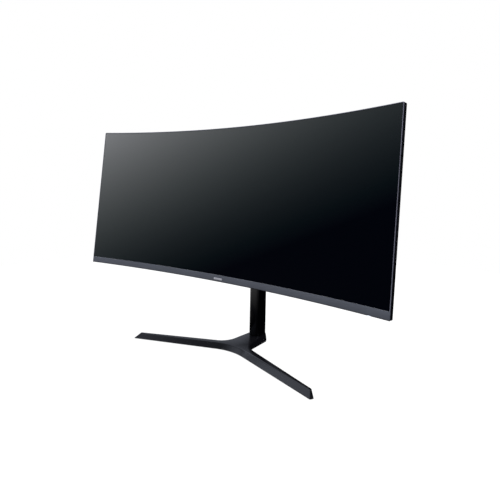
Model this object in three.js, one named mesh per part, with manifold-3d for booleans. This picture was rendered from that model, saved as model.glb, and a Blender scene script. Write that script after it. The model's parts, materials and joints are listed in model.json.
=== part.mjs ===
// A curved ultrawide desktop monitor on a V-footed stand that swivels, lifts and tilts.
// Millimetres. +X is the viewer's right, +Y points away from the viewer, +Z is up. The origin lies on
// the desk under the axis of the stand's column.
import * as THREE from 'three';
import { mergeVertices } from 'three/addons/utils/BufferGeometryUtils.js';
import Module from 'manifold-3d';

const wasm = await Module();
wasm.setup();

// ---- driving dimensions ----------------------------------------------------------------------
const GAP = 0.3; // running and assembly gap between neighbouring pieces

const PANEL_RADIUS = 1500; // 1500R screen curve
const PANEL_HALF = 409.5; // half width measured along the curve
const PANEL_HEIGHT = 362;
const PANEL_DEPTH = 9.4; // depth of the frame's side face
const PANEL_TILT = 0.1116; // lean back at rest, radians
const PANEL_Y = -167.9; // bottom centre of the front face
const PANEL_Z = 183.75;
const CHIN_HEIGHT = 15.2;
const FRAME_WALL = 1.3;
const ARC_STEPS = 18;

const COVER_DEPTH = 24; // back of the slim part of the rear cover
const BULGE_DEPTH = 58; // back of its central housing
const COVER_WALL = 2;
const HINGE_Y = 80; // tilt axis in the panel's own frame
const HINGE_Z = 178;
const MOUNT_HALF = 50; // half of the 100 mm square screw pattern

const COLUMN_WIDTH = 32;
const COLUMN_DEPTH = 40;
const COLUMN_RADIUS = 8;
const COLUMN_WALL = 2.5;
const COLUMN_TOP = 402;
const LIFT_TRAVEL = 100;
const SLOT_HALF = 6.6;
const ARM_HALF = 12; // half height of the neck arm

const FOOT_TOP = 13; // height of the V foot
const FOOT_BOTTOM = 1.5; // underside of the casting, above the pads
const PAD_TOP = 1.2;
const BORE_RADIUS = 9.5;
const WASHER_TOP = FOOT_TOP + 1.7; // the column turns on this washer

// Plan outlines of the V foot, at the desk and at its flat top. The legs' front edges are
// y = frontY - frontSlope |x|, their rear edges y = rearY - rearSlope |x|.
const FOOT_LOWER = {
  frontY: -110.2, frontSlope: 0.353, apexRadius: 120, tip: 256, tipRear: 261,
  rearY: -62, rearSlope: 0.5, stem: 34.5, stemFlare: 0, fillet: [7, 7],
  end: 20, endRound: [30, 30], endBulge: 0.43,
};
const FOOT_UPPER = {
  frontY: -97.8, frontSlope: 0.35, apexRadius: 140, tip: 249, tipRear: 249.8,
  rearY: -78.2, rearSlope: 0.41, stem: 20.4, stemFlare: 0.1145, fillet: [27, 30],
  end: 21, endRound: [23, 10], endBulge: 1,
};

const cosTilt = Math.cos(PANEL_TILT);
const sinTilt = Math.sin(PANEL_TILT);
const hingeY = PANEL_Y + HINGE_Y * cosTilt + HINGE_Z * sinTilt;
const hingeZ = PANEL_Z - HINGE_Y * sinTilt + HINGE_Z * cosTilt;

// ---- finishes --------------------------------------------------------------------------------
const finish = (color, roughness, metalness) => new THREE.MeshStandardMaterial({ color, roughness, metalness });
const FINISH = {
  screen: finish(0x1b1d24, 0.35, 0),
  sheet: finish(0xe8e8e6, 0.5, 0),
  acrylic: finish(0xdfe6ea, 0.1, 0),
  steel: finish(0x9a9da0, 0.4, 1),
  darkSteel: finish(0x3a3c40, 0.4, 1),
  frame: finish(0x1a1b1e, 0.45, 0),
  bezel: finish(0x4b4d58, 0.4, 0.3),
  badge: finish(0xa9abb0, 0.3, 1),
  cover: finish(0x1d1e20, 0.6, 0),
  board: finish(0x1f5a38, 0.6, 0),
  contact: finish(0x101012, 0.5, 0),
  stand: finish(0x2c2d31, 0.3, 0.7),
  column: finish(0x141518, 0.35, 0.2),
  nylon: finish(0xd9d7cf, 0.6, 0),
  rubber: finish(0x151515, 0.9, 0),
  lens: finish(0xeef4ff, 0.2, 0),
};

// ---- solids ----------------------------------------------------------------------------------
function solid(geometry) {
  geometry.deleteAttribute('normal');
  geometry.deleteAttribute('uv');
  const merged = mergeVertices(geometry, 1e-4);
  return new wasm.Manifold(new wasm.Mesh({
    numProp: 3,
    vertProperties: new Float32Array(merged.attributes.position.array),
    triVerts: new Uint32Array(merged.index.array),
  }));
}

function geometryOf(body) {
  const { vertProperties, triVerts } = body.getMesh();
  const geometry = new THREE.BufferGeometry();
  geometry.setAttribute('position', new THREE.BufferAttribute(new Float32Array(vertProperties), 3));
  geometry.setIndex(new THREE.BufferAttribute(new Uint32Array(triVerts), 1));
  geometry.computeVertexNormals();
  return geometry;
}

const join = (first, ...others) => others.reduce((body, other) => body.add(other), first);
const cut = (first, ...others) => others.reduce((body, other) => body.subtract(other), first);

function box([x0, x1], [y0, y1], [z0, z1]) {
  const geometry = new THREE.BoxGeometry(x1 - x0, y1 - y0, z1 - z0);
  return solid(geometry.translate((x0 + x1) / 2, (y0 + y1) / 2, (z0 + z1) / 2));
}

// A cylinder along the named axis, from `low` to `high` on it, centred on the other two coordinates.
function rod(axis, radius, [low, high], [u, v] = [0, 0], sides = 20) {
  const geometry = new THREE.CylinderGeometry(radius, radius, high - low, sides);
  const middle = (low + high) / 2;
  if (axis === 'x') geometry.rotateZ(Math.PI / 2).translate(middle, u, v);
  if (axis === 'y') geometry.translate(u, middle, v);
  if (axis === 'z') geometry.rotateX(Math.PI / 2).translate(u, v, middle);
  return solid(geometry);
}

const ring = (axis, outer, inner, [low, high], centre, sides) =>
  cut(rod(axis, outer, [low, high], centre, sides), rod(axis, inner, [low - 1, high + 1], centre, sides));

// Corners of a rounded rectangle, counter-clockwise.
function roundedRect(halfWidth, halfHeight, radius, [cx, cy] = [0, 0], steps = 4) {
  const points = [];
  for (let corner = 0; corner < 4; corner++) {
    const sx = corner === 0 || corner === 3 ? 1 : -1;
    const sy = corner < 2 ? 1 : -1;
    for (let i = 0; i <= steps; i++) {
      const angle = (corner + i / steps) * Math.PI / 2;
      points.push(new THREE.Vector2(
        cx + sx * (halfWidth - radius) + radius * Math.cos(angle),
        cy + sy * (halfHeight - radius) + radius * Math.sin(angle),
      ));
    }
  }
  return points;
}

// A solid between two outlines with matching points: `lower` at z0 and `upper` at z1.
function loftGeometry(lower, upper, z0, z1) {
  const geometry = new THREE.ExtrudeGeometry(new THREE.Shape(upper), { depth: 1, bevelEnabled: false });
  const key = (x, y) => `${x.toFixed(2)},${y.toFixed(2)}`;
  const partner = new Map(upper.map((point, i) => [key(point.x, point.y), lower[i]]));
  const position = geometry.attributes.position;
  for (let i = 0; i < position.count; i++) {
    const top = position.getZ(i) > 0.5;
    const point = partner.get(key(position.getX(i), position.getY(i)));
    if (!top) position.setXY(i, point.x, point.y);
    position.setZ(i, top ? z1 : z0);
  }
  return geometry;
}

const prism = (outline, [z0, z1]) => solid(loftGeometry(outline, outline, z0, z1));

// A housing that narrows towards the back: rounded rectangles in X and Z, joined along Y.
function housing(front, back) {
  const outline = (end) =>
    roundedRect(end.half, (end.z1 - end.z0) / 2, end.radius, [0, (end.z0 + end.z1) / 2], 3);
  return solid(loftGeometry(outline(back), outline(front), -back.y, -front.y).rotateX(Math.PI / 2));
}

// ---- the panel's curve -----------------------------------------------------------------------
const arcPoint = (y, along) => new THREE.Vector2(
  (PANEL_RADIUS + y) * Math.sin(along / PANEL_RADIUS),
  (PANEL_RADIUS + y) * Math.cos(along / PANEL_RADIUS) - PANEL_RADIUS,
);

// A slab that follows the screen curve. Each end is { y, half, z0, z1 }; by default the back end
// has the same width and height as the front.
function curvedSlab(front, back) {
  const rear = { ...front, ...back };
  const geometry = new THREE.BoxGeometry(1, 1, 1, ARC_STEPS, 1, 1);
  const position = geometry.attributes.position;
  for (let i = 0; i < position.count; i++) {
    const end = position.getY(i) < 0 ? front : rear;
    const point = arcPoint(end.y, 2 * end.half * position.getX(i));
    position.setXYZ(i, point.x, point.y, position.getZ(i) < 0 ? end.z0 : end.z1);
  }
  return solid(geometry);
}

// ---- assembly helpers ------------------------------------------------------------------------
const monitor = new THREE.Group();
const panel = new THREE.Group();
panel.position.set(0, PANEL_Y, PANEL_Z);
panel.rotation.x = -PANEL_TILT;
monitor.add(panel);

function piece(parent, name, body, material) {
  const mesh = new THREE.Mesh(geometryOf(body), material);
  mesh.name = name;
  parent.add(mesh);
  return mesh;
}

// A piece of the panel that sits at a distance along the screen curve.
function pieceOnCurve(name, body, material, along) {
  const mesh = piece(panel, name, body, material);
  const foot = arcPoint(0, along);
  mesh.position.set(foot.x, foot.y, 0);
  mesh.rotation.z = -along / PANEL_RADIUS;
}

// ---- display stack ---------------------------------------------------------------------------
function buildDisplay() {
  const inner = PANEL_HALF - FRAME_WALL;
  const top = PANEL_HEIGHT - FRAME_WALL;
  const badgeAlong = -1;
  const badgeSize = { half: 12, z0: 4.4, z1: 8.9 };

  const frame = cut(
    curvedSlab({ y: 0, half: PANEL_HALF, z0: 0, z1: PANEL_HEIGHT }, { y: PANEL_DEPTH }),
    curvedSlab({ y: -1, half: inner, z0: FRAME_WALL, z1: top }, { y: PANEL_DEPTH + 1 }),
    curvedSlab({ y: -1, half: PANEL_HALF + 2, z0: -1, z1: CHIN_HEIGHT + GAP }, { y: 2.1 }),
  );
  piece(panel, 'mid_frame', frame, FINISH.frame);
  const chin = curvedSlab({ y: 0, half: PANEL_HALF, z0: 0, z1: CHIN_HEIGHT }, { y: 1.8 });
  piece(panel, 'chin_bezel', chin, FINISH.bezel);
  pieceOnCurve('badge', box([-badgeSize.half, badgeSize.half], [-1.4, -0.45], [badgeSize.z0, badgeSize.z1]),
    FINISH.badge, badgeAlong);
  pieceOnCurve('power_led_lens', box([-3, 3], [-1.5, -GAP], [-1.2, 0.8]), FINISH.lens, 372);

  const lit = { half: inner - GAP, z0: CHIN_HEIGHT + GAP, z1: top - GAP };
  piece(panel, 'lcd_cell', curvedSlab({ ...lit, y: 0.5 }, { y: 2.3 }), FINISH.screen);
  const sheets = curvedSlab({ y: 2.6, half: inner - 1, z0: 9, z1: top - 1 }, { y: 3.4 });
  piece(panel, 'optical_sheets', sheets, FINISH.sheet);
  const tray = { half: inner - GAP, z0: FRAME_WALL + GAP, z1: top - GAP };
  const pocket = { half: tray.half - 0.8, z0: tray.z0 + 0.8, z1: tray.z1 - 0.8 };
  piece(panel, 'backlight_tray',
    cut(curvedSlab({ ...tray, y: 3.7 }, { y: 8 }), curvedSlab({ ...pocket, y: 3 }, { y: 7 })), FINISH.steel);
  const light = { half: pocket.half - GAP, z1: pocket.z1 - GAP };
  piece(panel, 'light_guide', curvedSlab({ ...light, y: 3.9, z0: 9.9 }, { y: 6.7 }), FINISH.acrylic);
  const strip = curvedSlab({ y: 3.9, half: light.half, z0: 3.2, z1: 9.4 }, { y: 6.7 });
  piece(panel, 'led_strip', strip, FINISH.nylon);
}

// ---- rear cover ------------------------------------------------------------------------------
function buildCover() {
  const rim = { y: PANEL_DEPTH + GAP, half: PANEL_HALF - 0.8, z0: 0.8, z1: PANEL_HEIGHT - 0.8 };
  const back = { y: COVER_DEPTH, half: 380, z0: 22, z1: 340 };
  const bulgeFront = { y: 8, half: 152, z0: 82, z1: 286, radius: 14 };
  const bulgeBack = { y: BULGE_DEPTH, half: 122, z0: 104, z1: 262, radius: 14 };
  const inset = (end, by) => ({ ...end, half: end.half - COVER_WALL, z0: end.z0 + COVER_WALL,
    z1: end.z1 - COVER_WALL, y: end.y - by });

  const outer = join(curvedSlab(rim, back), housing(bulgeFront, bulgeBack));
  const hollow = join(
    curvedSlab({ ...inset(rim, 0), y: rim.y - 0.6 }, inset(back, COVER_WALL)),
    housing({ ...inset(bulgeFront, 4), radius: 12 }, { ...inset(bulgeBack, COVER_WALL), radius: 12 }),
  );
  const ahead = curvedSlab({ y: -40, half: PANEL_HALF + 5, z0: -5, z1: PANEL_HEIGHT + 5 }, { y: rim.y });
  const openings = [];
  for (const x of [-MOUNT_HALF, MOUNT_HALF]) {
    for (const z of [HINGE_Z - MOUNT_HALF, HINGE_Z + MOUNT_HALF]) {
      openings.push(rod('y', 2.4, [BULGE_DEPTH - 5, BULGE_DEPTH + 2], [x, z], 12));
    }
  }
  for (let i = 0; i < 9; i++) {
    const x = 12 * (i - 4);
    openings.push(box([x - 1.5, x + 1.5], [BULGE_DEPTH - 5, BULGE_DEPTH + 2], [244, 256]));
  }
  openings.push(rod('y', 7.5, [BULGE_DEPTH - 5, BULGE_DEPTH + 2], [JOYSTICK.x, JOYSTICK.z], 24));
  openings.push(box([IO_BAY.x0, IO_BAY.x1], [IO_BAY.y0, IO_BAY.y1], [70, IO_BAY.z + 2]));
  piece(panel, 'rear_cover', cut(outer, hollow, ahead, ...openings), FINISH.cover);
}

// ---- electronics -----------------------------------------------------------------------------
const JOYSTICK = { x: 98, z: 126, pivot: 50 };
const IO_BAY = { x0: -98, x1: 84, y0: 28, y1: 48, z: 113.5 }; // z is where the sockets begin

function buildElectronics() {
  const studs = [];
  for (const x of [-MOUNT_HALF, MOUNT_HALF]) {
    for (const z of [HINGE_Z - MOUNT_HALF, HINGE_Z + MOUNT_HALF]) {
      studs.push(cut(rod('y', 5, [20, 55.7], [x, z], 14), rod('y', 2.4, [38, 60], [x, z], 12)));
    }
  }
  const plate = join(box([-112, 112], [18, 20.2], [122, 250]), ...studs);
  piece(panel, 'chassis_plate', plate, FINISH.steel);
  piece(panel, 'main_board', box([-44, 44], [30, 31.6], [130, 236]), FINISH.board);
  piece(panel, 'power_board', box([58, 112], [30, 31.6], [146, 236]), FINISH.board);
  piece(panel, 'tcon_board', box([-112, -58], [30, 31.6], [146, 236]), FINISH.board);
  piece(panel, 'board_shield',
    cut(box([-40, 40], [32.6, 48], [136, 232]), box([-39, 39], [31, 47], [137, 231])),
    FINISH.steel);

  // The sockets stand in three plates: video, data and power.
  const plates = [
    ['video_plate', [IO_BAY.x0 + 1, -28.3],
      [['hdmi_socket_1', -84, 15, 5.6], ['hdmi_socket_2', -62, 15, 5.6], ['displayport_socket', -39, 16, 5]]],
    ['data_plate', [-28, 46],
      [['usb_uplink_socket', -18, 12, 11], ['usb_socket_1', 1, 13.5, 6], ['usb_socket_2', 20, 13.5, 6],
        ['audio_socket', 37, 6.4, 6.4]]],
    ['power_plate', [46.3, IO_BAY.x1 - 1], [['power_inlet', 64, 27, 15.5]]],
  ];
  for (const [name, span, sockets] of plates) {
    let plate = box(span, [IO_BAY.y0 + 0.5, IO_BAY.y1 - 0.5], [IO_BAY.z - 1.6, IO_BAY.z - 0.4]);
    for (const socket of sockets) {
      plate = cut(plate, socketMouth(socket, 0.2, IO_BAY.z - 3, IO_BAY.z + 1));
      buildSocket(socket);
    }
    piece(panel, name, plate, FINISH.steel);
  }
}

// The inside of a socket, grown by a margin; the audio jack is the round one.
function socketMouth([name, x, width, height], grow, z0, z1) {
  const depthY = 38;
  if (name === 'audio_socket') return rod('z', width / 2 + grow, [z0, z1], [x, depthY], 16);
  return box([x - width / 2 - grow, x + width / 2 + grow],
    [depthY - height / 2 - grow, depthY + height / 2 + grow],
    [z0, z1]);
}

function buildSocket(socket) {
  const wall = 1.1;
  const shell = cut(socketMouth(socket, wall, IO_BAY.z, IO_BAY.z + 8.5),
    socketMouth(socket, 0, IO_BAY.z - 1, IO_BAY.z + 7.4));
  const plastic = ['power_inlet', 'audio_socket'].includes(socket[0]);
  piece(panel, socket[0], shell, plastic ? FINISH.contact : FINISH.steel);
}

// ---- joystick --------------------------------------------------------------------------------
function buildJoystick() {
  const centre = [JOYSTICK.x, JOYSTICK.z];
  const span = [JOYSTICK.pivot - 1.5, JOYSTICK.pivot + 1.5];
  piece(panel, 'joystick_gimbal', ring('y', 6.4, 4.9, span, centre, 20), FINISH.nylon);
  piece(panel, 'joystick_hub', ring('y', 4.6, 2.6, span, centre, 18), FINISH.nylon);
  const stem = rod('y', 2.2, [47, 61], centre, 14);
  piece(panel, 'joystick_cap', join(stem, rod('y', 6, [60, 63.5], centre, 24)), FINISH.frame);
  piece(panel, 'joystick_switch',
    box([JOYSTICK.x - 6, JOYSTICK.x + 6], [39.5, 45.8], [JOYSTICK.z - 6, JOYSTICK.z + 6]),
    FINISH.contact);
}

// ---- tilt hinge ------------------------------------------------------------------------------
const LUG = { inner: 16, outer: 20, radius: 12 };
const PIN_RADIUS = 4;

function buildTiltBracket() {
  const back = BULGE_DEPTH + GAP;
  const outline = new THREE.Shape(roundedRect(60, 60, 8));
  const plate = new THREE.ExtrudeGeometry(outline, { depth: 3, bevelEnabled: false });
  let bracket = solid(plate.rotateX(Math.PI / 2).translate(0, back + 3, HINGE_Z));
  for (const side of [-1, 1]) {
    const span = [side * LUG.inner, side * LUG.outer].sort((a, b) => a - b);
    bracket = join(bracket, box(span, [back + 1, HINGE_Y], [HINGE_Z - LUG.radius, HINGE_Z + LUG.radius]),
      rod('x', LUG.radius, span, [HINGE_Y, HINGE_Z], 28));
  }
  bracket = cut(bracket, rod('x', PIN_RADIUS + GAP, [-30, 30], [HINGE_Y, HINGE_Z], 20));
  let count = 0;
  for (const x of [-MOUNT_HALF, MOUNT_HALF]) {
    for (const z of [HINGE_Z - MOUNT_HALF, HINGE_Z + MOUNT_HALF]) {
      count += 1;
      bracket = cut(bracket, rod('y', 2.4, [back - 1, back + 4], [x, z], 12));
      const head = rod('y', 4, [back + 3 + GAP, back + 5.5], [x, z], 16);
      piece(panel, `mount_screw_${count}`, join(head, rod('y', 2, [40, back + 4], [x, z], 12)), FINISH.steel);
    }
  }
  piece(panel, 'tilt_bracket', bracket, FINISH.darkSteel);
}

function buildNeck() {
  const axis = [hingeY, hingeZ];
  const arm = cut(
    join(rod('x', LUG.radius + 1, [-13, 13], axis, 32),
      box([-6, 6], [hingeY, -14.3], [hingeZ - ARM_HALF, hingeZ + ARM_HALF])),
    rod('x', PIN_RADIUS + GAP, [-30, 30], axis, 20),
  );
  piece(monitor, 'neck_arm', arm, FINISH.darkSteel);
  piece(monitor, 'hinge_pin', rod('x', PIN_RADIUS, [-22.5, 22.5], axis, 20), FINISH.steel);
  for (const [name, side] of [['hinge_washer_left', -1], ['hinge_washer_right', 1]]) {
    const span = [side * 13.3, side * 15.7].sort((a, b) => a - b);
    piece(monitor, name, ring('x', 11, PIN_RADIUS + GAP, span, axis, 24), FINISH.nylon);
  }
  const reach = [-50.5, -21.2];
  const cover = cut(box([-11, 11], reach, [hingeZ - 18, hingeZ + 18]),
    box([-9, 9], [reach[0] - 1, reach[1] + 1], [hingeZ - 16, hingeZ + 16]));
  piece(monitor, 'neck_cover', cover, FINISH.cover);
}

// ---- lift ------------------------------------------------------------------------------------
function buildLift() {
  const coilZ = hingeZ + 20;
  const carriage = cut(
    box([-11.1, 11.1], [-14, 14], [hingeZ - 30, hingeZ + 32]),
    box([-8.6, 8.6], [-20, 20], [hingeZ + 8, hingeZ + 40]),
    rod('x', 2.3, [-15, 15], [0, coilZ], 14),
  );
  piece(monitor, 'lift_carriage', carriage, FINISH.nylon);
  piece(monitor, 'spring_axle', rod('x', 2, [-11, 11], [0, coilZ], 14), FINISH.steel);
  piece(monitor, 'spring_coil', ring('x', 10.5, 2.3, [-8.3, 8.3], [0, coilZ], 24), FINISH.steel);
}

// ---- column ----------------------------------------------------------------------------------
function buildColumn() {
  const plan = (inset) =>
    roundedRect(COLUMN_WIDTH / 2 - inset, COLUMN_DEPTH / 2 - inset, COLUMN_RADIUS - inset);
  const low = FOOT_TOP + 0.6;
  const slot = [hingeZ - ARM_HALF - LIFT_TRAVEL - 3, hingeZ + ARM_HALF + 3];
  const shell = cut(prism(plan(0), [low, COLUMN_TOP]), prism(plan(COLUMN_WALL), [low - 1, COLUMN_TOP + 1]),
    box([-SLOT_HALF, SLOT_HALF], [-30, -12], slot));
  piece(monitor, 'column_shell', shell, FINISH.column);
  const plug = prism(plan(COLUMN_WALL + GAP), [COLUMN_TOP - 6, COLUMN_TOP + 1]);
  piece(monitor, 'column_cap', join(prism(plan(0), [COLUMN_TOP + GAP, COLUMN_TOP + 3.3]), plug), FINISH.column);
  for (const [name, side] of [['lift_rail_left', -1], ['lift_rail_right', 1]]) {
    const span = [side * 11.4, side * 13.2].sort((a, b) => a - b);
    piece(monitor, name, box(span, [-8, 8], [26, COLUMN_TOP - 8]), FINISH.steel);
  }
  const foot = cut(
    join(prism(plan(COLUMN_WALL + GAP), [WASHER_TOP + GAP, 20]),
      rod('z', BORE_RADIUS - GAP, [6.6, 16], [0, 0], 28)),
    rod('z', 4.3, [0, 30], [0, 0], 18),
  );
  piece(monitor, 'column_foot', foot, FINISH.steel);
  const shank = join(rod('z', 4, [3, 22], [0, 0], 18), rod('z', 6, [1.9, 3.9], [0, 0], 18));
  piece(monitor, 'swivel_bolt', shank, FINISH.steel);
  piece(monitor, 'swivel_disc', ring('z', 13.6, 4.3, [4.2, 5.9], [0, 0], 28), FINISH.steel);
}

// ---- V foot ----------------------------------------------------------------------------------
const curveThrough = (from, corner, to, steps) =>
  new THREE.QuadraticBezierCurve(from, corner, to).getPoints(steps);

// The right half of the foot's outline, from the middle of the front round to the rear of the stem.
function halfFoot(f) {
  const angle = Math.atan(f.frontSlope);
  const centreY = f.frontY - f.apexRadius / Math.cos(angle);
  const points = [];
  for (let i = 0; i <= 6; i++) {
    const turn = angle * i / 6;
    points.push(new THREE.Vector2(f.apexRadius * Math.sin(turn), centreY + f.apexRadius * Math.cos(turn)));
  }
  points.push(new THREE.Vector2(f.tip, f.frontY - f.frontSlope * f.tip));
  points.push(new THREE.Vector2(f.tipRear, f.rearY - f.rearSlope * f.tipRear));
  const stemAt = (y) => f.stem - f.stemFlare * y;
  const cornerX = (f.stem - f.stemFlare * f.rearY) / (1 - f.stemFlare * f.rearSlope);
  const corner = new THREE.Vector2(cornerX, f.rearY - f.rearSlope * cornerX);
  const alongLeg = cornerX + f.fillet[0] * Math.cos(Math.atan(f.rearSlope));
  const onLeg = new THREE.Vector2(alongLeg, f.rearY - f.rearSlope * alongLeg);
  const onStem = new THREE.Vector2(stemAt(corner.y + f.fillet[1]), corner.y + f.fillet[1]);
  points.push(...curveThrough(onLeg, corner, onStem, 6));
  const sideEnd = new THREE.Vector2(stemAt(f.end - f.endRound[0]), f.end - f.endRound[0]);
  const rearCorner = new THREE.Vector2(stemAt(f.end), f.end);
  const rearEnd = new THREE.Vector2(rearCorner.x - f.endRound[1], f.end);
  const bend = sideEnd.clone().lerp(rearEnd, 0.5).lerp(rearCorner, f.endBulge);
  points.push(...curveThrough(sideEnd, bend, rearEnd, 5));
  return points;
}

function footOutline(f) {
  const right = halfFoot(f);
  const left = right.slice(1).reverse().map((point) => new THREE.Vector2(-point.x, point.y));
  return [...right, ...left];
}

function buildFoot() {
  const casting = cut(
    solid(loftGeometry(footOutline(FOOT_LOWER), footOutline(FOOT_UPPER), FOOT_BOTTOM, FOOT_TOP)),
    rod('z', BORE_RADIUS, [0, 30], [0, 0], 28),
    rod('z', 14, [0, 6.2], [0, 0], 28),
  );
  piece(monitor, 'foot_casting', casting, FINISH.stand);
  const washer = ring('z', 13, BORE_RADIUS + 0.2, [FOOT_TOP + GAP, WASHER_TOP], [0, 0], 28);
  piece(monitor, 'swivel_washer', washer, FINISH.nylon);
  piece(monitor, 'foot_pad_rear', rod('z', 16, [0, PAD_TOP], [0, 0], 28), FINISH.rubber);
  piece(monitor, 'foot_pad_front', box([-20, 20], [-107, -97], [0, PAD_TOP]), FINISH.rubber);
  for (const [name, side] of [['foot_pad_left', -1], ['foot_pad_right', 1]]) {
    const pad = piece(monitor, name, box([-18, 18], [-3.2, 3.2], [0, PAD_TOP]), FINISH.rubber);
    pad.position.set(side * 228, -182.4, 0);
    pad.rotation.z = -side * Math.atan(0.42);
  }
}

buildDisplay();
buildCover();
buildElectronics();
buildJoystick();
buildTiltBracket();
buildNeck();
buildLift();
buildColumn();
buildFoot();

export default monitor;
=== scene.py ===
"""A curved ultrawide desktop monitor on a V foot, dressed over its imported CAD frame.

Lengths in this script are millimetres until they reach Blender, which works in metres.
+X is the viewer's right, +Y points away from the viewer, +Z is up, and the origin is on the desk
under the column.
"""

import json
import math

import bmesh
import bpy
from mathutils import Matrix, Vector


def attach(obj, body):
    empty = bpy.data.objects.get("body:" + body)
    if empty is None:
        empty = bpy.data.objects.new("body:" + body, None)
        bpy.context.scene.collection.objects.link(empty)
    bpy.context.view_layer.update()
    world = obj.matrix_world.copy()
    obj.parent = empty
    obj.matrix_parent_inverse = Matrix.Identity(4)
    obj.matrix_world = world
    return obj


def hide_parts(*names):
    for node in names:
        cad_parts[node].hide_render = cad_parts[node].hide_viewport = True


MM = 0.001

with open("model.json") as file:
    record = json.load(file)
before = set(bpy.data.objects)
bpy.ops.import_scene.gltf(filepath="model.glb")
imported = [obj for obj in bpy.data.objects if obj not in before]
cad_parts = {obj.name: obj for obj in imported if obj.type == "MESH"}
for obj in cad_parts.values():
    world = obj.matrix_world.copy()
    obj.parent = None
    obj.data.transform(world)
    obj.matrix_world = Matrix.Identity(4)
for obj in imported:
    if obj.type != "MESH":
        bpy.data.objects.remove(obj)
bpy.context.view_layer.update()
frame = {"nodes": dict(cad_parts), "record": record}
nodes = frame["nodes"]

# ---- sizes shared with the CAD frame ---------------------------------------------------------
RADIUS = 1500.0  # of the screen's curve
HALF = 409.5  # half the panel's width, along the curve
HEIGHT = 362.0
DEPTH = 9.4  # of the frame round the panel
TILT = 0.1116  # how far the panel leans back at rest, in radians
PANEL_AT = Vector((0.0, -167.9, 183.75))  # middle of the panel's lower front edge
CHIN = 15.2
CHIN_SHADE_EDGE = 1.1  # height of the dark strip painted along the foot of the chin as shade
LIP = 1.3  # width of the border round the display
GAP = 0.3  # between neighbouring pieces
COVER_BACK = 24.0
BULGE_BACK = 58.0
WALL = 2.0
VENTS = 9
VENT_PITCH = 12.0
VENT_Z = (244, 256)
CUT_Y = (BULGE_BACK - 6, BULGE_BACK + 3)  # a cut right through the wall of the bulge
HINGE = (80.0, 178.0)  # tilt axis: depth and height on the panel
BRACKET_AT = BULGE_BACK + GAP
MOUNT_HALF = 50.0
MOUNT_POINTS = [(x, z) for x in (-MOUNT_HALF, MOUNT_HALF)
                for z in (HINGE[1] - MOUNT_HALF, HINGE[1] + MOUNT_HALF)]
SCREW_HOLE = 2.4
PIN_HOLE = 4.3
JOYSTICK = (98.0, 126.0)
SOCKET_Z = 113.5  # height where the sockets begin
SOCKET_Y = 38.0  # depth of their middle
COLUMN_TOP = 402.0
COLUMN_HALF = (16.0, 20.0)
COLUMN_CORNER = 8.0
FOOT_TOP = 13.0
FOOT_BORE = 9.5
FOOT_RECESS = (14.0, 6.2)  # radius and top of the pocket under the foot


def tilted(x, y, z):
    """A point of the leaning panel in the shared frame, in metres."""
    c, t = math.cos(TILT), math.sin(TILT)
    return Vector((x, PANEL_AT.y + y * c + z * t, PANEL_AT.z - y * t + z * c)) * MM


def curved(s, y, z):
    """The same for a point given along the screen curve."""
    a = s / RADIUS
    return tilted((RADIUS + y) * math.sin(a), (RADIUS + y) * math.cos(a) - RADIUS, z)


def upright(x, y, z):
    return Vector((x, y, z)) * MM


HINGE_WORLD = tilted(0, *HINGE) / MM


# ---- materials -------------------------------------------------------------------------------
class Nodes:
    """A short way to build the node tree of one material."""

    def __init__(self, name):
        self.material = bpy.data.materials.new(name)
        self.material.use_nodes = True
        self.tree = self.material.node_tree
        self.shader = self.tree.nodes["Principled BSDF"]
        self.coords = self.add("ShaderNodeTexCoord")

    def add(self, kind, **settings):
        node = self.tree.nodes.new(kind)
        for key, value in settings.items():
            if key in node.inputs:
                node.inputs[key].default_value = value
            else:
                setattr(node, key, value)
        return node

    def link(self, source, target):
        self.tree.links.new(source, target)

    def mapped(self, scale, stretch=(1, 1, 1)):
        mapping = self.add("ShaderNodeMapping")
        mapping.inputs["Scale"].default_value = [scale * k for k in stretch]
        self.link(self.coords.outputs["Object"], mapping.inputs["Vector"])
        return mapping.outputs["Vector"]

    def noise(self, scale, detail=3.0, stretch=(1, 1, 1)):
        node = self.add("ShaderNodeTexNoise", Scale=1.0, Detail=detail)
        self.link(self.mapped(scale, stretch), node.inputs["Vector"])
        return node.outputs["Fac"]

    def spread(self, value, low, high, start=0.3, stop=0.7):
        node = self.add("ShaderNodeMapRange")
        for key, number in (("From Min", start), ("From Max", stop), ("To Min", low), ("To Max", high)):
            node.inputs[key].default_value = number
        self.link(value, node.inputs["Value"])
        return node.outputs["Result"]

    def sum(self, first, second, operation="ADD"):
        node = self.add("ShaderNodeMath", operation=operation)
        self.link(first, node.inputs[0])
        self.link(second, node.inputs[1])
        return node.outputs["Value"]

    def ramp(self, value, stops):
        node = self.add("ShaderNodeValToRGB")
        elements = node.color_ramp.elements
        while len(elements) < len(stops):
            elements.new(0.5)
        for element, (at, colour) in zip(elements, stops):
            element.position = at
            element.color = (*colour, 1.0)
        self.link(value, node.inputs["Fac"])
        return node.outputs["Color"]

    def bump(self, height, distance_mm):
        node = self.add("ShaderNodeBump", Distance=distance_mm * MM)
        self.link(height, node.inputs["Height"])
        self.link(node.outputs["Normal"], self.shader.inputs["Normal"])

    def set(self, **sockets):
        for key, value in sockets.items():
            self.shader.inputs[key.replace("_", " ")].default_value = value


def surface(name, colour, roughness, metallic=0.0, level=0.5, grain=900.0, relief=0.02, drift=0.12,
            stretch=(1, 1, 1)):
    """A moulded, painted or machined surface: mottled colour, uneven gloss and a fine grain."""
    n = Nodes(name)
    cloud = n.noise(14.0, 2.0)
    low = [c * (1 - drift) for c in colour]
    high = [min(1.0, c * (1 + drift)) for c in colour]
    n.link(n.ramp(cloud, [(0.35, low), (0.65, high)]), n.shader.inputs["Base Color"])
    fine = n.noise(grain, 4.0, stretch)
    n.link(n.spread(fine, roughness * 0.9, min(1.0, roughness * 1.12)), n.shader.inputs["Roughness"])
    n.bump(fine, relief)
    n.set(Metallic=metallic, Specular_IOR_Level=level)
    return n.material


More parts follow.
